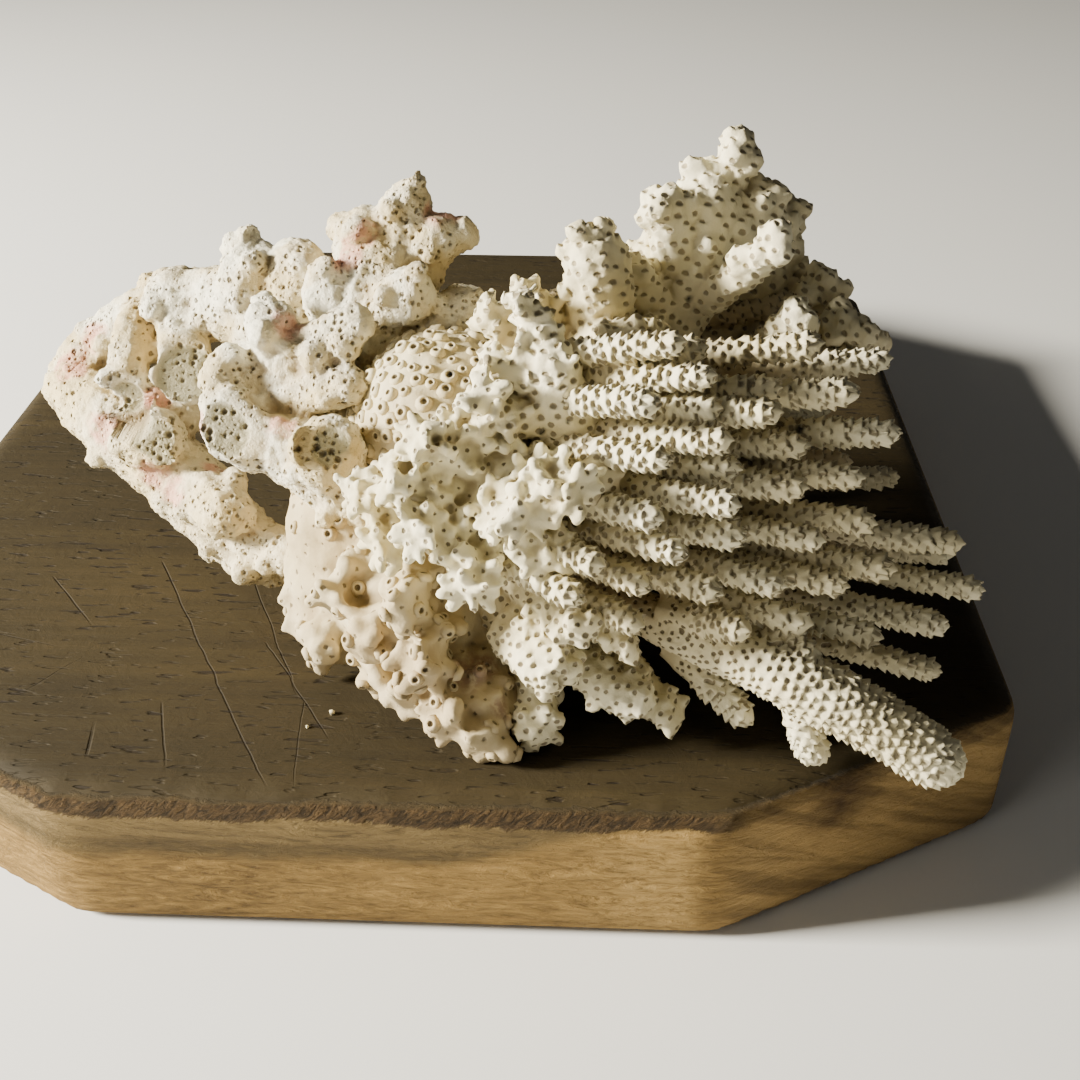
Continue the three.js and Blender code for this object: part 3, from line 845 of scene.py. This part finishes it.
LOBE_RODS = [
    ([(14, -108, 66), (30, -126, 62)], (8.5, 8)),
    ([(26, -128, 62), (34, -142, 63)], (7, 6.3)),
    ([(30, -126, 54), (32, -141, 44)], (5, 4)),
    ([(34, -126, 56), (52, -141, 52)], (5.4, 4)),
    ([(42, -122, 56), (61, -137, 45)], (5, 3.5)),
    ([(30, -124, 70), (50, -142, 70)], (4.2, 3)),
    ([(26, -122, 72), (40, -145, 75)], (4.6, 3.3)),
]
CROWN_VOXEL = 0.55 * MM
SPUR_FUSE = 0.25 * MM
# How far out to the front the branches turn to white tips, and stop being painted brown with age
# and shade.
CROWN_TIPS_FROM = (-0.112, -0.128)
CROWN_SHADED_TO = (-0.112, -0.132)


def pull_from(points, source):
    """The way the branch grows at each point: straight from its source."""
    return unit(points - np.array(source) * MM)


def crowded_branch(name, node_names, rods, spurs, voxel, tip_of, aged_shade_of, source, seed, cup_size):
    """Rods with their spurs as one skin, opened by cups that crowd at its ends.

    The cup size is the cups' spacing, their least and most hole, and the nose's height."""
    piece = grown_skin(name, rods + spurs, [], voxel, 2, SPUR_FUSE)
    roughen(piece, name + "_swells", "CLOUDS", 7 * MM, 1.3 * MM)
    roughen(piece, name + "_lumps", "CLOUDS", 2.2 * MM, 0.5 * MM)
    clear_board(piece)
    spacing, hole_low, hole_high, tall = (value * MM for value in cup_size)
    points, facing, rng = scatter(piece, spacing, seed)
    tip = tip_of(points)
    hole = (hole_low + (hole_high - hole_low) * tip) * rng.uniform(0.85, 1.15, len(points))
    lift = open_cups(piece, points, facing, pull_from(points, source), tip, hole, tall)
    paint(piece, "tip", lift)
    paint(piece, "aged_shade", aged_shade_of(points_of(piece)))
    finish_piece(piece, coral_material, node_names)


def crown_tip(points):
    """The ends stand out to the front, and are whiter there in patches."""
    front = smoothstep(*CROWN_TIPS_FROM, points[:, 1])
    return front * (0.35 + 0.5 * noise_at(points, 30 * MM, 12))


# Painted age and shade: browner behind the front.
def crown_aged_shade(points):
    return 0.75 * (1.0 - smoothstep(*CROWN_SHADED_TO, points[:, 1]))


crown_spurs = buds(
    CROWN_RODS, per_rod=52, length=(1.2, 3.6), thick=1.3, thin=0.95, seed=24, start=0.2
)
crowded_branch(
    "frilly_crown",
    ["left_crown"],
    CROWN_RODS,
    crown_spurs,
    CROWN_VOXEL,
    tip_of=crown_tip,
    aged_shade_of=crown_aged_shade,
    source=(26, -104, 80),
    seed=25,
    cup_size=(2.6, 0.35, 0.5, 0.6),
)
lobe_knobs = buds(
    LOBE_RODS, per_rod=16, length=(0.5, 1.4), thick=2.0, thin=1.6, seed=26, start=0.3
)
crowded_branch(
    "knobby_lobes",
    ["front_lobes"],
    LOBE_RODS,
    lobe_knobs,
    CROWN_VOXEL,
    tip_of=crown_tip,
    aged_shade_of=crown_aged_shade,
    source=(20, -104, 66),
    seed=27,
    cup_size=(2.15, 0.48, 0.62, 1.3),
)


# The towers: two upright branches with side stubs, the tallest part of the colony.
# Pits painted dark as shade lie flush near their roots, and the tops are crowded with raised
# cups.
TOWER_RODS = [
    ([(40, -86, 88), (52, -86, 106), (62, -81, 126), (66, -79, 143)], (8.5, 9, 9.5, 7.5)),
    ([(68, -79, 134), (72, -76, 152)], (5, 2.6)),
    ([(68, -80, 124), (77, -77, 140)], (6.5, 4.8)),
    ([(60, -84, 130), (57, -86, 144)], (6, 4.2)),
    ([(58, -88, 116), (51, -92, 130)], (5, 3)),
    ([(66, -88, 122), (78, -103, 140)], (4, 2.9)),
    ([(56, -90, 106), (53, -102, 122)], (4.5, 2.8)),
    ([(44, -76, 84), (66, -72, 104), (82, -72, 124)], (8.5, 9, 6.8)),
    ([(77, -72, 114), (83, -72, 136)], (6.2, 4)),
    ([(80, -74, 110), (94, -78, 122)], (5.8, 3.8)),
    ([(78, -78, 104), (99, -90, 118)], (5.3, 3.3)),
    ([(76, -80, 98), (106, -86, 112)], (5, 3)),
    ([(80, -84, 108), (85, -96, 122)], (4.8, 3.5)),
]


CORAL_VOXEL = 0.6 * MM
TOWER_CUPS = (2.3, 0.42, 0.72, 1.0)
# The heights over which the uprights turn to white tips, and stop being painted brown with age
# and shade.
TOWER_TIPS_FROM = (0.085, 0.125)
TOWER_SHADED_TO = (0.080, 0.128)


def tower_tip(points):
    return smoothstep(*TOWER_TIPS_FROM, points[:, 2])


# Painted age and shade: browner towards the roots.
def tower_aged_shade(points):
    return 0.9 * (1.0 - smoothstep(*TOWER_SHADED_TO, points[:, 2]))


tower_knobs = buds(
    TOWER_RODS,
    per_rod=9,
    length=(0.2, 1.2),
    thick=2.7,
    thin=2.2,
    seed=30,
    start=0.55,
    lean=1.0,
)
crowded_branch(
    "tall_towers",
    ["tower_branch", "back_tower_branch"],
    TOWER_RODS,
    tower_knobs,
    CORAL_VOXEL,
    tip_of=tower_tip,
    aged_shade_of=tower_aged_shade,
    source=(50, -82, 60),
    seed=31,
    cup_size=TOWER_CUPS,
)


# The stub and the knobbed branch: two shorter uprights in front of the towers, with
# blunt heads. The knobbed one's left side is frilled like the crown under it.
STUB_RODS = [
    ([(22, -90, 86), (36, -92, 104), (43, -96, 124), (41, -97, 137)], (9, 7.8, 7.8, 6.5)),
    ([(38, -98, 114), (48, -110, 122)], (5.8, 4.8)),
    ([(44, -88, 112), (54, -82, 130)], (5, 4.4)),
    ([(36, -98, 116), (26, -101, 128)], (4, 2.6)),
    ([(34, -100, 110), (19, -104, 125)], (4.4, 2.8)),
    ([(22, -102, 84), (38, -118, 102), (35, -122, 116), (33, -120, 124)], (7.2, 6.4, 6.6, 4.8)),
    ([(34, -120, 116), (22, -122, 122)], (4.8, 2.6)),
    ([(32, -122, 110), (21, -128, 115)], (4.4, 2.4)),
    ([(33, -120, 122), (28, -116, 133)], (4, 2.4)),
    ([(38, -118, 100), (44, -134, 104)], (5.3, 4.4)),
]
stub_spurs = buds(
    STUB_RODS[3:], per_rod=22, length=(0.8, 3.0), thick=1.3, thin=0.9, seed=33, start=0.25
)
stub_knobs = buds(
    STUB_RODS[:3],
    per_rod=9,
    length=(0.3, 1.2),
    thick=2.3,
    thin=1.8,
    seed=32,
    start=0.5,
    lean=1.0,
)
crowded_branch(
    "blunt_stubs",
    ["stub_branch", "knobbed_branch"],
    STUB_RODS,
    stub_knobs + stub_spurs,
    CORAL_VOXEL,
    tip_of=tower_tip,
    aged_shade_of=tower_aged_shade,
    source=(32, -96, 60),
    seed=34,
    cup_size=TOWER_CUPS,
)


# The fans: sprays of near-parallel fingers that all point away from the root. Each is
# smooth and pitted at its foot, and ends in a rosette of raised noses.
GROWTH_POINT = np.array([-20.0, -88.0, 78.0])
GROWTH_LIFT = 0.6
DOME_CENTRE = np.array([20.0, -88.0, 70.0])
DOME_RADII = np.array([125.0, 62.0, 85.0])
FINGER_LENGTH = 33.0
FINGER_RADII = (2.1, 2.7, 2.4)
CUP_STEP = 2.15 * MM
NOSE_TALL = 1.55 * MM
# How far out towards the dome of the tips the fingers stop being painted brown with age and
# shade.
FAN_SHADED_TO = (0.56, 0.95)


def finger(trunk, azimuth, elevation, reach=1.0):
    """Off the trunk's axis, then straight to the tip on the dome of all the tips."""
    a, e = math.radians(azimuth), math.radians(elevation)
    way = np.array([math.cos(e) * math.cos(a), math.cos(e) * math.sin(a), math.sin(e)])
    tip = DOME_CENTRE + way * DOME_RADII * reach
    way = unit((tip - GROWTH_POINT) * np.array([1.0, 1.0, GROWTH_LIFT]))
    root = tip - way * FINGER_LENGTH
    first, last = (np.array(corner, float) for corner in trunk[-2:])
    share = np.clip((root - first) @ (last - first) / ((last - first) @ (last - first)), 0, 1)
    start = first + (last - first) * share
    return ([start, start + (root - start) * 0.6, root, tip], FINGER_RADII)


def cup_rows(rod, rng, full):
    """Where a rod's cups stand: staggered rows round it, and a rosette on its tip.

    Its noses begin to grow at the share of its length that is given as full."""
    line, ways, at, radius = rod_line(rod, 0.4 * MM)
    across = unit(np.cross(ways, (0.31, 0.17, 0.93)))
    up = np.cross(ways, across)
    length = at[-1]
    end = rod[1][-1] * MM
    points, facing, pull, tip = [], [], [], []
    place = 0.15 * length + rng.uniform(0, CUP_STEP)
    row = 0
    while place < length - 0.15 * end:
        i = int(np.searchsorted(at, place))
        count = max(3, round(2 * math.pi * (radius[i] + 0.2 * MM) / (1.1 * CUP_STEP)))
        over = float(np.clip((place - length + 1.3 * end) / (1.3 * end), 0, 1))
        for k in range(count):
            angle = 2 * math.pi * (k + 0.5 * (row % 2) + rng.uniform(-0.2, 0.2)) / count
            out = math.cos(angle) * across[i] + math.sin(angle) * up[i]
            shift = rng.uniform(-0.28, 0.28) * CUP_STEP
            points.append(line[i] + ways[i] * shift + out * radius[i])
            facing.append(out * (1 - over) + ways[i] * over)
            pull.append(ways[i] * (1 - 0.7 * over) - out * over * 0.3)
            tip.append(float(smoothstep(full * length, length - 10 * MM, np.array(place))))
        place += 0.88 * CUP_STEP
        row += 1
    points.append(line[-1])
    facing.append(ways[-1])
    pull.append(up[-1])
    tip.append(0.6)
    return [np.array(points), unit(np.array(facing)), np.array(pull), np.array(tip)]


def finger_fan(name, sprays, seed):
    """Fingers and trunks of one or more of the frame's fans, grown into one skin."""
    rng = np.random.default_rng(seed)
    rods, cup_sets, node_names = [], [], []
    for node, trunk, trunk_radii, fingers, side_rods in sprays:
        node_names.append(node)
        rods.append((trunk, trunk_radii))
        cup_sets.append(cup_rows(rods[-1], rng, 0.9 if fingers else 0.3))
        grown = [finger(trunk, *angles) for angles in fingers] + side_rods
        for corners, radii in grown:
            size = rng.uniform(0.92, 1.08)
            rods.append((corners, tuple(radius * size for radius in radii)))
            cup_sets.append(cup_rows(rods[-1], rng, 0.32))
    piece = grown_skin(name, rods, [], CORAL_VOXEL)
    roughen(piece, name + "_swells", "CLOUDS", 6 * MM, 1.0 * MM)
    roughen(piece, name + "_lumps", "CLOUDS", 1.8 * MM, 0.35 * MM)
    clear_board(piece)
    points, facing, pull, tip = (np.concatenate(part) for part in zip(*cup_sets))
    hole = (0.45 + 0.17 * tip) * MM * rng.uniform(0.85, 1.15, len(points))
    lift = open_cups(piece, points, facing, pull, tip, hole, NOSE_TALL)
    reach = np.linalg.norm((points_of(piece) / MM - DOME_CENTRE) / DOME_RADII, axis=1)
    paint(piece, "tip", lift)
    # Fingers are painted browner deeper inside the dome: age, and painted shade.
    paint(piece, "aged_shade", 1.0 - smoothstep(*FAN_SHADED_TO, reach))
    finish_piece(piece, coral_material, node_names)


finger_fan(
    "front_fans",
    [
        (
            "middle_fan",
            [(26, -102, 84), (46, -115, 96)],
            (9.5, 7.5),
            [
                (-65, 45), (-58, 46, 0.92), (-63, 40), (-62, 36, 0.95), (-71, 37), (-64, 31),
                (-71, 29), (-65, 22), (-73, 21), (-71, 16), (-64, 17, 0.97), (-61, 27, 0.92),
            ],
            [],
        ),
        (
            "front_fan",
            [(20, -108, 76), (44, -122, 80)],
            (9.5, 6.5),
            [
                (-79, 15), (-81, 10), (-74, 11, 0.96), (-67, 9, 0.97), (-75, 5, 0.97),
                (-60, 9, 0.97),
            ],
            [],
        ),
    ],
    41,
)
finger_fan(
    "right_fans",
    [
        (
            "upper_right_branch",
            [(48, -90, 86), (76, -96, 100)],
            (8, 6.5),
            [
                (-41, 43, 0.95), (-26, 38, 0.92), (-44, 35, 0.98), (-40, 28, 0.97),
                (-57, 34), (-52, 38, 0.94), (-51, 29, 0.92),
            ],
            [],
        ),
        (
            "right_branch",
            [(52, -96, 80), (84, -104, 86)],
            (8, 6),
            [
                (-48, 23, 0.97), (-48, 16, 0.97), (-55, 15, 0.97), (-55, 23, 0.95),
                (-33, 8, 0.96), (-48, 9), (-54, 8),
            ],
            [],
        ),
    ],
    42,
)
finger_fan(
    "low_right_fan",
    [
        (
            "lower_right_branch",
            [(46, -98, 72), (84, -108, 66)],
            (8, 6),
            [
                (-32, 0), (-38, -4), (-49, -2), (-34, -15), (-57, 2, 0.97), (-47, -13, 0.95),
            ],
            [],
        ),
        (
            "lower_arm",
            [(30, -104, 64), (56, -126, 64), (80, -142, 63), (100, -148, 56), (116, -153, 48)],
            (7.5, 5.0, 5.7, 6.6, 5.6),
            [],
            [
                ([(84, -142, 60), (91, -145, 43)], (3.6, 3.2)),
                ([(58, -128, 68), (73, -143, 74)], (3.6, 2.8)),
                ([(60, -126, 58), (76, -138, 47)], (3.8, 2.8)),
                ([(68, -134, 66), (88, -141, 67)], (3.6, 2.8)),
            ],
        ),
    ],
    43,
)
finger_fan(
    "back_fans",
    [
        (
            "back_upper_fan",
            [(36, -80, 84), (62, -66, 100)],
            (9.5, 6.5),
            [
                (-8, 38, 0.8), (16, 44, 0.84), (38, 38, 0.9), (40, 50, 0.8), (66, 36, 0.92),
                (12, 30, 0.82),
            ],
            [],
        ),
        (
            "back_lower_fan",
            [(32, -78, 72), (64, -66, 70)],
            (11.5, 7.5),
            [
                (-14, 18, 0.68), (16, 14, 0.68), (40, 18, 0.9), (56, 26), (70, 10), (48, 2),
                (-8, -6, 0.86), (26, -4, 0.88), (60, -14), (40, -18),
            ],
            [],
        ),
    ],
    44,
)


# The old growth: dead branches from before the colony, worn round, bored by worms and
# grown over by a crust of pink and cream. Their broken ends show the porous inside.
OLD_VOXEL = 0.62 * MM
CREST_RODS = [
    ([(0, -78, 92), (-12, -68, 106), (-8, -60, 118)], (12, 12, 10)),
    ([(-8, -58, 112), (-3, -54, 133)], (9, 6)),
    ([(-4, -60, 114), (6, -58, 127)], (8, 5)),
    ([(-14, -60, 112), (-14, -54, 126)], (8, 6)),
    ([(-10, -72, 108), (0, -75, 118)], (7.5, 5.8)),
    ([(-14, -70, 104), (-22, -68, 116)], (8, 6.5)),
    ([(0, -72, 102), (12, -70, 113)], (7, 5.8)),
    ([(8, -74, 96), (19, -68, 106)], (6.5, 5)),
    ([(-16, -84, 88), (-27, -84, 101)], (7, 7)),
    ([(-28, -84, 102), (-33, -82, 114)], (7, 5.2)),
    ([(-26, -84, 105), (-11, -86, 115)], (6, 4.4)),
    ([(-28, -86, 97), (-12, -94, 103)], (6.5, 4.6)),
    ([(-28, -84, 99), (-42, -86, 101)], (6, 4.8)),
    ([(-4, -100, 72), (-18, -100, 84), (-32, -96, 90)], (12, 9, 7)),
    ([(-32, -96, 88), (-40, -99, 95)], (7.5, 7.5)),
    ([(-34, -92, 92), (-44, -88, 103)], (5.9, 4.6)),
    ([(-18, -100, 86), (-15, -110, 96)], (8.5, 7.5)),
]
ARM_RODS = [
    ([(-28, -66, 92), (-44, -54, 103), (-62, -42, 99), (-84, -38, 87), (-97, -42, 77)],
     (9, 10, 9.5, 9.5, 9)),
    ([(-44, -56, 104), (-42, -52, 115)], (9, 8)),
    ([(-32, -62, 100), (-30, -54, 117)], (8.5, 7.5)),
    ([(-58, -44, 98), (-66, -46, 102)], (10, 9)),
    ([(-76, -42, 98), (-76, -56, 92), (-75, -62, 86)], (5.5, 5, 4.8)),
    ([(-66, -44, 100), (-61, -58, 95), (-58, -66, 90)], (5.5, 6.5, 8.4)),
    ([(-98, -44, 78), (-88, -54, 76), (-66, -68, 66), (-46, -80, 52)], (8, 10, 10.5, 8)),
    ([(-58, -74, 64), (-46, -88, 64)], (7.5, 7)),
    ([(-52, -76, 54), (-41, -84, 48)], (7.5, 7)),
    ([(-74, -64, 74), (-66, -74, 77)], (8.5, 8.5)),
    ([(-82, -54, 74), (-62, -60, 78)], (8, 7)),
    ([(-44, -82, 54), (-30, -90, 54)], (7, 5.5)),
]
# Each broken face: its middle, the way it faces, and its radius.
CREST_BREAKS = [
    ((-41, -102, 95), (0.15, -0.82, 0.55), 7.5),
    ((-14, -113, 98), (0.10, -0.80, 0.60), 5.0),
]
ARM_BREAKS = [
    ((-58.5, -67, 91.5), (0.2, -0.8, 0.55), 8.5),
    ((-75, -65, 84), (0.10, -0.90, 0.10), 4.8),
    ((-64, -78, 79), (0.15, -0.78, 0.60), 8.5),
]
FACE_SINK = 0.7 * MM
FACE_RIM = (0.78, 0.92)
OLD_HOLE_SPACING = 1.5 * MM
BLUSH_SPOTS = [
    ((-94, -50, 86), 7),
    ((-89, -44, 92), 5),
    ((-81, -68, 76), 6),
    ((-68, -78, 70), 6),
    ((-61, -82, 66), 5),
    ((-52, -76, 70), 4),
    ((-67, -64, 84), 5),
    ((-47, -99, 96), 4),
    ((-27, -100, 96), 4),
    ((-28, -86, 113), 5),
    ((-16, -68, 123), 6),
    ((-12, -64, 127), 5),
    ((5, -58, 130), 5),
]


OLD_CREAM = colour(0.57, 0.465, 0.26)
OLD_CHALK = colour(0.73, 0.695, 0.56)
OLD_LOW_ARM = colour(0.68, 0.555, 0.305)
OLD_GRIME = colour(0.34, 0.26, 0.15)
OLD_HOLLOW_SHADE = colour(0.235, 0.165, 0.090)
OLD_PORE_SHADE = colour(0.20, 0.145, 0.085)
OLD_HOLE_SHADE = colour(0.125, 0.090, 0.048)
BLUSH_PINK = colour(0.62, 0.27, 0.21)
BROKEN_FACE = colour(0.36, 0.33, 0.21)
LOW_ARM_TO = (0.084, 0.096)


def old_finish():
    material, shader = new_material("old_finish")
    root = Finish(material.node_tree)
    where = root.node("TexCoord", {}, {}, "Object")
    z = root.node("SeparateXYZ", {}, {"Vector": where}, 2)
    slow = root.noise(where, 45.0, 4.0)
    tone = slow.step(0.38, 0.60).between(OLD_CREAM, OLD_CHALK)
    low_arm = (1.0 - (z + slow * 0.012).step(*LOW_ARM_TO)) * 0.55
    tone = low_arm.between(tone, OLD_LOW_ARM)
    grime = root.noise(where, 240.0, 4.0, 0.7)
    tone = (grime.step(0.52, 0.72) * 0.5).between(tone, OLD_GRIME)
    # Hollows are painted darker brown: dirt, and painted shade.
    tone = (root.mark("hollow_shade") * 0.7).between(tone, OLD_HOLLOW_SHADE)
    # Small pores in the bump, painted dark inside as painted shade.
    cells = root.node("TexVoronoi", {}, {"Vector": where, "Scale": 620.0})
    holes = 1.0 - cells.step(0.08, 0.34)
    holes = holes * root.noise(where, 120.0, 2.0).step(0.40, 0.56)
    tone = (holes * 0.65).between(tone, OLD_PORE_SHADE)
    blush = root.mark("blush") * grime.step(0.28, 0.56)
    tone = (blush * 0.65).between(tone, BLUSH_PINK)
    face = root.mark("face")
    tone = (face * 0.8).between(tone, BROKEN_FACE)
    # Worm holes are painted dark inside as painted shade.
    cup = root.mark("cup")
    cup = cup + (root.noise(where, 700.0, 2.0) - 0.5) * 1.1
    tone = ((1.0 - cup.step(0.65, 1.15)) * 0.7).between(tone, OLD_HOLE_SHADE)
    wire(shader, "Base Color", tone)
    shader.inputs["Roughness"].default_value = 0.9
    shader.inputs["Specular IOR Level"].default_value = 0.25
    grain = root.noise(where, 900.0, 4.0, 0.7)
    height = grain * 0.7 + grime * 0.6 - holes * 0.9 + cup.step(0.5, 1.3) * 1.1
    bump = root.node("Bump", {}, {"Strength": 0.85, "Distance": 0.0009, "Height": height})
    wire(shader, "Normal", bump)
    return material


old_material = old_finish()


def snap_off(piece, breaks):
    """Ends branches in flat broken faces, and returns how much each point lies on one."""
    points = points_of(piece)
    on_face = np.zeros(len(points))
    for place, way, radius in breaks:
        middle, way = np.array(place) * MM, unit(np.array(way))
        past = (points - middle) @ way
        aside = np.linalg.norm(points - middle - past[:, None] * way, axis=1) / (radius * MM)
        past = np.where(aside < 1.5, np.maximum(past, 0.0), 0.0)
        points -= past[:, None] * way
        flat = 1.0 - smoothstep(0.0, 0.7 * MM, np.abs((points - middle) @ way))
        inside = flat * (1.0 - smoothstep(*FACE_RIM, aside))
        points -= (inside * FACE_SINK)[:, None] * way
        on_face = np.maximum(on_face, inside)
    place_points(piece, points)
    return on_face


def old_branch(name, node_names, rods, breaks, seed):
    """Knobbly rods as one worn skin, with broken faces, lumps and worm holes."""
    knobs = buds(
        rods, per_rod=3, length=(0.2, 1.2), thick=3.6, thin=2.8, seed=seed, start=0.2, lean=0.6
    )
    piece = grown_skin(name, rods + knobs, [], OLD_VOXEL, 2)
    roughen(piece, name + "_swells", "CLOUDS", 10 * MM, 2.6 * MM, 0.45, 1)
    roughen(piece, name + "_lumps", "CLOUDS", 3.4 * MM, 1.4 * MM, 0.45)
    apply_modifier(piece, "SMOOTH", factor=0.5, iterations=2)
    roughen(piece, name + "_crumbs", "VORONOI", 1.8 * MM, -0.6 * MM, 0.4)
    roughen(piece, name + "_grains", "CLOUDS", 1.2 * MM, 0.6 * MM, 0.5)
    on_face = snap_off(piece, breaks)
    clear_board(piece)
    face_spots = [(place, radius * 1.05) for place, _, radius in breaks]

    def pore_chance(points):
        bored = smoothstep(0.35, 0.75, noise_at(points, 13 * MM, seed))
        return np.maximum(0.30 * bored, 0.6 * near_spots(points, face_spots, seed))

    points, facing, rng = scatter(piece, OLD_HOLE_SPACING, seed, pore_chance)
    hole = (0.2 + 0.5 * rng.random(len(points)) ** 2) * MM
    hole *= 1.0 + 0.3 * near_spots(points, face_spots, seed)
    still = np.full(len(points), 0.1)
    across = facing[:, [1, 2, 0]]
    open_cups(piece, points, facing, across, still, hole, tall=0.6 * MM, sink=1.1)
    paint(piece, "face", on_face)
    paint(piece, "blush", near_spots(points_of(piece), BLUSH_SPOTS, 62))
    finish_piece(piece, old_material, node_names)


old_branch(
    "old_crest", ["peak_branch", "star_branch", "porous_branch"], CREST_RODS, CREST_BREAKS, 51
)
old_branch("old_arm", ["crest_branch", "long_old_branch"], ARM_RODS, ARM_BREAKS, 52)


# The setting: a pale floor, one low warm light from the left that draws the coral's
# shadows, a much weaker one in front, and the photograph's camera.
FLOOR_SIZE = 6.0
FLOOR_GREY = colour(0.72, 0.72, 0.71)
WORLD_TINT = colour(1.0, 0.97, 0.90)
WORLD_STRENGTH = 0.065
bpy.ops.object.select_all(action="DESELECT")
bpy.ops.mesh.primitive_plane_add(size=FLOOR_SIZE, location=(0, 0, 0))
floor = bpy.context.active_object
floor.name = "floor"
floor_material, floor_shader = new_material("floor_finish")
floor_shader.inputs["Base Color"].default_value = FLOOR_GREY
floor_shader.inputs["Roughness"].default_value = 0.9
floor.data.materials.append(floor_material)

world = bpy.data.worlds.new("studio")
world.use_nodes = True
background = world.node_tree.nodes["Background"]
background.inputs["Color"].default_value = WORLD_TINT
background.inputs["Strength"].default_value = WORLD_STRENGTH
bpy.context.scene.world = world


def soft_light(name, place, aim, size, power, tint):
    light = bpy.data.lights.new(name, "AREA")
    light.shape = "SQUARE"
    light.size = size
    light.energy = power
    light.color = tint
    lamp = bpy.data.objects.new(name, light)
    lamp.location = place
    lamp.rotation_euler = (Vector(aim) - Vector(place)).to_track_quat("-Z", "Y").to_euler()
    bpy.context.scene.collection.objects.link(lamp)


soft_light(
    "key",
    place=(-1.19, -0.29, 0.55),
    aim=(0.0, -0.08, 0.06),
    size=0.26,
    power=112.0,
    tint=(1.0, 0.94, 0.80),
)
soft_light(
    "fill",
    place=(-0.85, -0.95, 0.50),
    aim=(0.0, -0.10, 0.05),
    size=0.5,
    power=3.0,
    tint=(1.0, 0.95, 0.84),
)

camera = bpy.data.cameras.new("camera")
camera.lens = 45.0
camera.sensor_width = 36.0
camera_object = bpy.data.objects.new("camera", camera)
camera_object.location = (0.041, -0.365, 0.239)
camera_object.rotation_euler = (math.radians(57.0), 0.0, math.radians(2.3))
bpy.context.scene.collection.objects.link(camera_object)
bpy.context.scene.camera = camera_object
